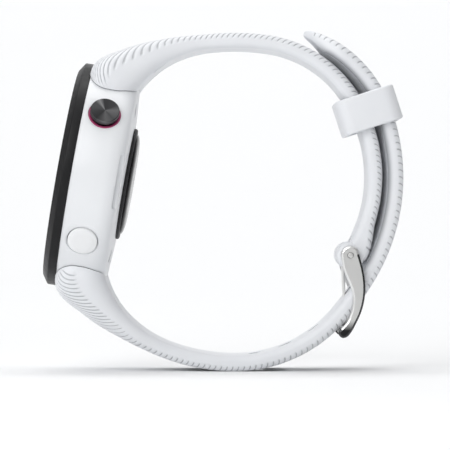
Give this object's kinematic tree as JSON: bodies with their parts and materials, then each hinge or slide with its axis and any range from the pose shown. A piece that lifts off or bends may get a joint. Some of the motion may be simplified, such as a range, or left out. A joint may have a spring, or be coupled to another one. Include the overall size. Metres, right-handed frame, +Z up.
{
  "type": "gps running watch",
  "caption": "Round-faced running watch on a grooved silicone strap, buckled into a closed loop and standing on the strap.",
  "frame": {"origin": "below the middle of the whole watch, on the surface it stands on", "axes": "+X from the display to the buckle, +Y across the strap towards 9 o'clock, +Z up"},
  "size_m": [0.0631, 0.0397, 0.0598],
  "materials": {
    "white_shell": "satin",
    "white_button": "satin",
    "black_bezel": "satin",
    "lens_glass": "polished",
    "adhesive": "matte",
    "display": "gloss",
    "light_guide": "gloss",
    "antenna_metal": "plated",
    "frame_plastic": "matte",
    "circuit_board": "solder mask",
    "tin_shield": "satin",
    "battery_foil": "foil",
    "steel": "fine brushed",
    "tungsten": "sintered",
    "brass_disc": "rolled",
    "black_rubber": "matte",
    "back_plastic": "satin",
    "sensor_ring": "satin",
    "sensor_glass": "gloss",
    "photodiode": "gloss",
    "start_metal": "spun",
    "raspberry": "satin",
    "white_silicone": "satin",
    "buckle_metal": "satin with polished edges"
  },
  "bodies": {
    "root": {"case_shell": "white_shell", "button_rings": "white_shell", "bezel": "black_bezel", "lens": "lens_glass", "lens_gasket": "adhesive", "battery_pad": "adhesive", "display_panel": "display", "light_guide": "light_guide", "antenna_ring": "antenna_metal", "charge_contacts": "antenna_metal", "sensor_leds": "antenna_metal", "inner_frame": "frame_plastic", "charge_block": "frame_plastic", "light_barrier": "frame_plastic", "main_board": "circuit_board", "sensor_board": "circuit_board", "shield_cans": "tin_shield", "motor_can": "tin_shield", "button_switches": "tin_shield", "battery": "battery_foil", "motor_shaft": "steel", "back_screws": "steel", "upper_spring_bar": "steel", "lower_spring_bar": "steel", "buckle_pin": "steel", "buzzer": "brass_disc", "back_gasket": "black_rubber", "back_cover": "back_plastic", "sensor_base": "sensor_ring", "sensor_window": "sensor_glass", "photodiodes": "photodiode", "start_ring": "raspberry", "upper_strap": "white_silicone", "lower_strap": "white_silicone"},
    "start_button": {"start_button": "start_metal", "start_seal": "black_rubber", "start_clip": "steel"},
    "back_button": {"back_button": "white_button", "back_seal": "black_rubber", "back_clip": "steel"},
    "light_button": {"light_button": "white_button", "light_seal": "black_rubber", "light_clip": "steel"},
    "up_button": {"up_button": "white_button", "up_seal": "black_rubber", "up_clip": "steel"},
    "down_button": {"down_button": "white_button", "down_seal": "black_rubber", "down_clip": "steel"},
    "upper_bar_tip": {"upper_bar_tip": "steel"},
    "lower_bar_tip": {"lower_bar_tip": "steel"},
    "keeper": {"keeper": "white_silicone"},
    "buckle_frame": {"buckle_frame": "buckle_metal"},
    "buckle_tongue": {"buckle_tongue": "buckle_metal"},
    "motor_rotor": {"motor_rotor": "tungsten"}
  },
  "joints": [
    {"name": "start_button_press", "type": "slide", "parent": "root", "child": "start_button", "axis": [-0.0984, 0.8241, -0.5578], "range_m": [0, 0.0005], "stiffness_N_per_m": 900, "springref_m": -0.0002},
    {"name": "back_button_press", "type": "slide", "parent": "root", "child": "back_button", "axis": [0.0984, 0.8241, 0.5578], "range_m": [0, 0.0005], "stiffness_N_per_m": 900, "springref_m": -0.0002},
    {"name": "light_button_press", "type": "slide", "parent": "root", "child": "light_button", "axis": [-0.0971, -0.829, -0.5507], "range_m": [0, 0.0005], "stiffness_N_per_m": 900, "springref_m": -0.0002},
    {"name": "up_button_press", "type": "slide", "parent": "root", "child": "up_button", "axis": [0, -1, 0], "range_m": [0, 0.0005], "stiffness_N_per_m": 900, "springref_m": -0.0002},
    {"name": "down_button_press", "type": "slide", "parent": "root", "child": "down_button", "axis": [0.0971, -0.829, 0.5507], "range_m": [0, 0.0005], "stiffness_N_per_m": 900, "springref_m": -0.0002},
    {"name": "upper_bar_tip_slide", "type": "slide", "parent": "root", "child": "upper_bar_tip", "axis": [0, 1, 0], "range_m": [0, 0.0014], "stiffness_N_per_m": 700, "springref_m": -0.0005},
    {"name": "lower_bar_tip_slide", "type": "slide", "parent": "root", "child": "lower_bar_tip", "axis": [0, 1, 0], "range_m": [0, 0.0014], "stiffness_N_per_m": 700, "springref_m": -0.0005},
    {"name": "keeper_slide", "type": "hinge", "parent": "root", "child": "keeper", "pos_m": [0.0047, 0, 0.0358], "axis": [0, 1, 0], "range_deg": [-12, 12]},
    {"name": "buckle_swing", "type": "hinge", "parent": "root", "child": "buckle_frame", "pos_m": [0.02219, 0, 0.02024], "axis": [0, -1, 0], "range_deg": [0, 5]},
    {"name": "tongue_swing", "type": "hinge", "parent": "root", "child": "buckle_tongue", "pos_m": [0.02219, 0, 0.02024], "axis": [0, -1, 0], "range_deg": [0, 5]},
    {"name": "motor_spin", "type": "hinge", "parent": "root", "child": "motor_rotor", "pos_m": [-0.0233, 0, 0.02237], "axis": [-0.9848, 0, 0.1736], "continuous": true}
  ],
  "couplings": [
    {"joint": "tongue_swing", "follows": "buckle_swing", "ratio": 1}
  ]
}
